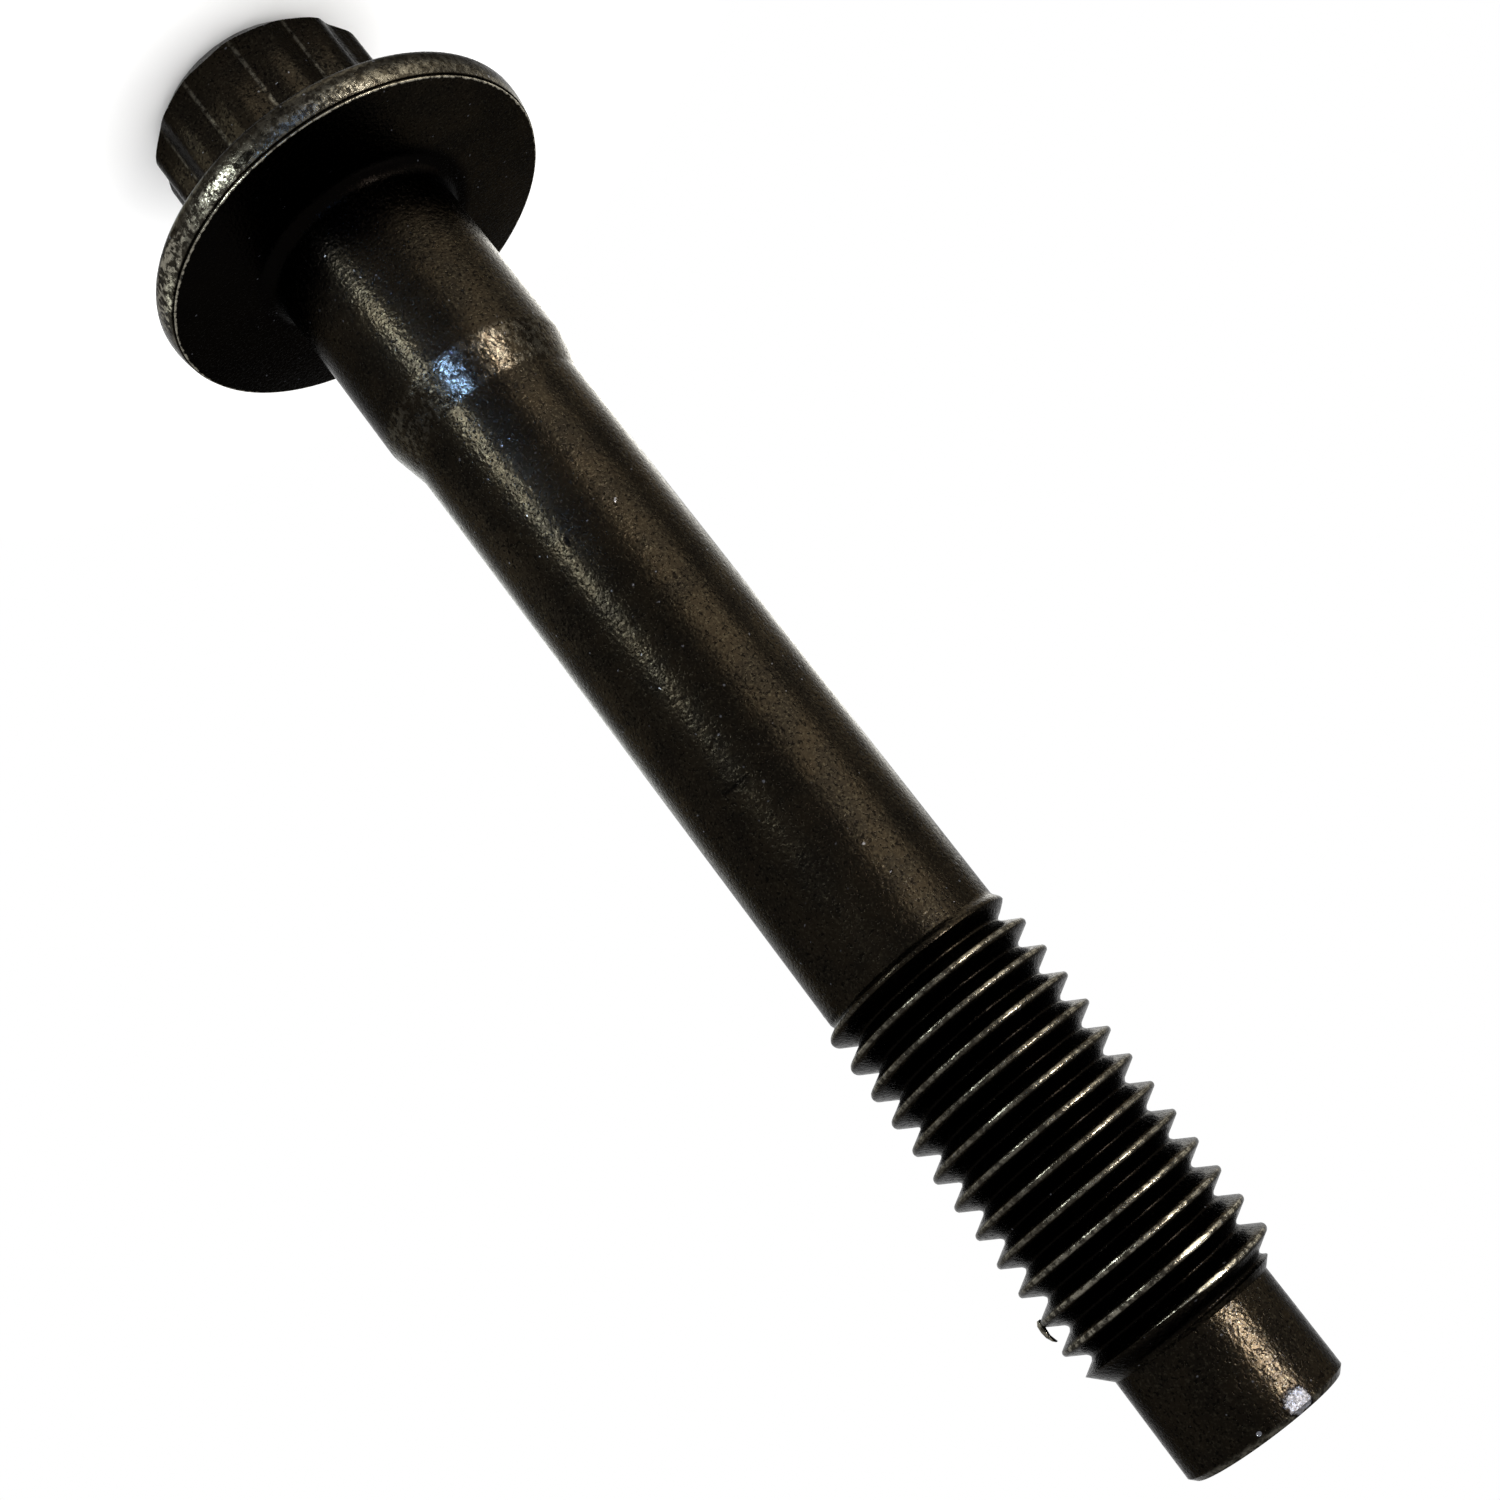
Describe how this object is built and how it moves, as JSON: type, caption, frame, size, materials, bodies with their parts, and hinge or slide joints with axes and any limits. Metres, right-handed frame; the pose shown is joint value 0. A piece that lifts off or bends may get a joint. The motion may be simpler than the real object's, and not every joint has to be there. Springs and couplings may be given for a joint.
{
  "type": "wheel hub bolt",
  "caption": "Black steel flange bolt with a bi-hexagon head, locating collar, plain shank, rolled coarse thread and dog point, for clamping a wheel hub or bearing to its carrier.",
  "frame": {"origin": "centre of the head's flat top, on which the bolt stands", "axes": "+Z along the bolt from the head to the tip"},
  "size_m": [0.0252, 0.0252, 0.0946],
  "materials": {
    "black_steel": "oiled black oxide, satin, worn bright on the flange rim, thread crests and tip"
  },
  "bodies": {
    "root": {"hub_bolt": "black_steel"}
  },
  "joints": []
}
